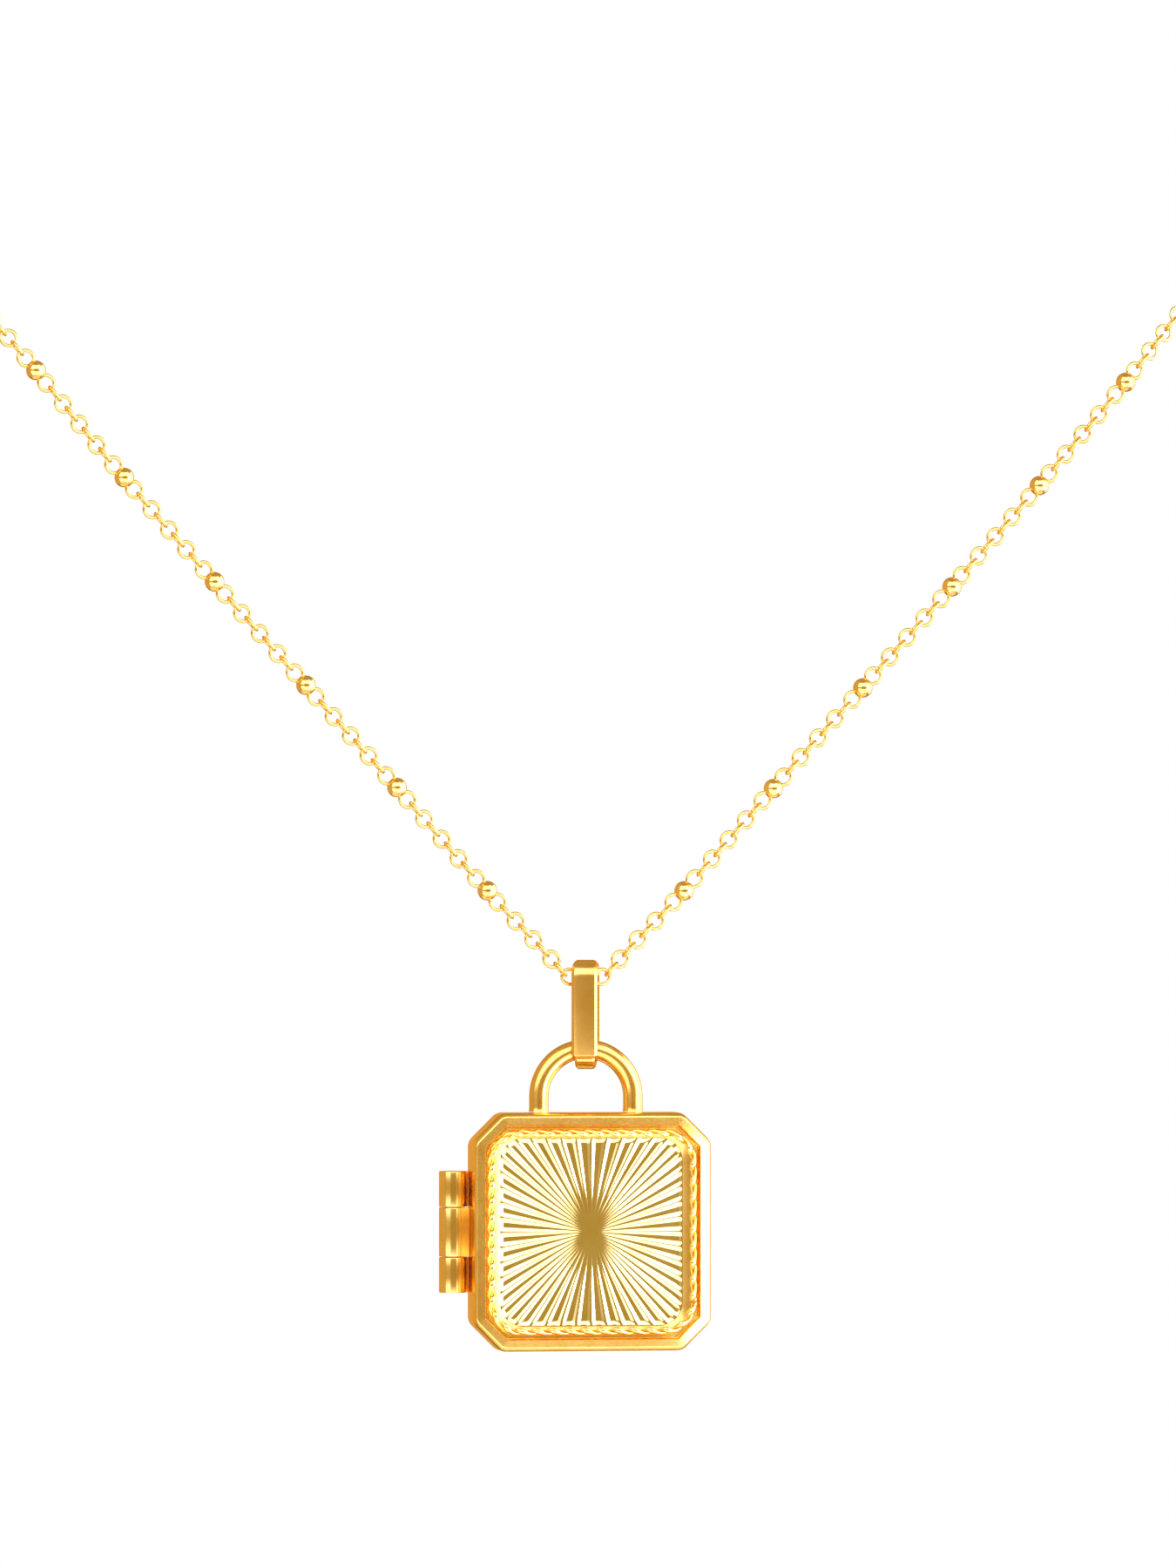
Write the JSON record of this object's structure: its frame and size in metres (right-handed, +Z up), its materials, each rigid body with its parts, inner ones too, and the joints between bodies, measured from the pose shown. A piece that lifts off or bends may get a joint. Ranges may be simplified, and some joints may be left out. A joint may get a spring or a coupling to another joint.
{
  "type": "locket necklace",
  "caption": "Square locket with cut corners, rope edge and sunburst panel, on a padlock shackle, strap bail and beaded cable chain with a lobster clasp.",
  "frame": {"origin": "middle of the closed lobster clasp at the nape, where the neck carries the chain", "axes": "+Z up, -Y towards the locket's front, +X to the right as seen from the front; the locket hangs upright"},
  "size_m": [0.1102, 0.1156, 0.1282],
  "materials": {
    "border_gold": "polished gold plate",
    "rope_gold": "bright polished gold plate",
    "sunburst_gold": "bright fluted gold plate",
    "case_gold": "polished gold plate",
    "bail_gold": "polished gold plate",
    "chain_gold": "bright polished gold plate",
    "clasp_gold": "polished gold plate",
    "retainer_gold": "satin gold plate",
    "spring_steel": "bright drawn wire",
    "clear_acetate": "clear"
  },
  "bodies": {
    "chain": {"bail_link": "chain_gold", "chain_arm_left": "chain_gold", "chain_arm_right": "chain_gold", "chain_neck_left": "chain_gold", "chain_neck_right": "chain_gold", "clasp_body": "clasp_gold", "clasp_pin": "clasp_gold", "clasp_spring": "spring_steel", "clasp_ring": "clasp_gold", "end_ring": "clasp_gold"},
    "bail": {"bail": "bail_gold"},
    "case": {"case_back": "case_gold", "case_snap_rim": "retainer_gold", "case_photo_window": "clear_acetate", "case_photo_frame": "retainer_gold", "hinge_knuckle_top": "case_gold", "hinge_knuckle_bottom": "case_gold", "hinge_pin": "retainer_gold", "shackle": "bail_gold"},
    "lid": {"lid_frame": "border_gold", "rope_trim": "rope_gold", "sunburst_plate": "sunburst_gold", "lid_photo_window": "clear_acetate", "lid_photo_frame": "retainer_gold", "hinge_knuckle_middle": "case_gold"},
    "clasp_lever": {"clasp_lever": "clasp_gold"}
  },
  "joints": [
    {"name": "bail_swing", "type": "hinge", "parent": "chain", "child": "bail", "pos_m": [0, -0.11, -0.1], "axis": [1, 0, 0], "range_deg": [-70, 70]},
    {"name": "locket_rock", "type": "hinge", "parent": "bail", "child": "case", "pos_m": [0, -0.11, -0.10818], "axis": [0, -1, 0], "range_deg": [-45, 45]},
    {"name": "lid_hinge", "type": "hinge", "parent": "case", "child": "lid", "pos_m": [-0.00925, -0.1109, -0.11726], "axis": [0, 0, -1], "range_deg": [0, 175]},
    {"name": "clasp_lever_hinge", "type": "hinge", "parent": "chain", "child": "clasp_lever", "pos_m": [-0.0007, 0, 0.0008], "axis": [0, 1, 0], "range_deg": [0, 20], "stiffness_Nm_per_rad": 0.0002, "springref_deg": -17.19}
  ]
}
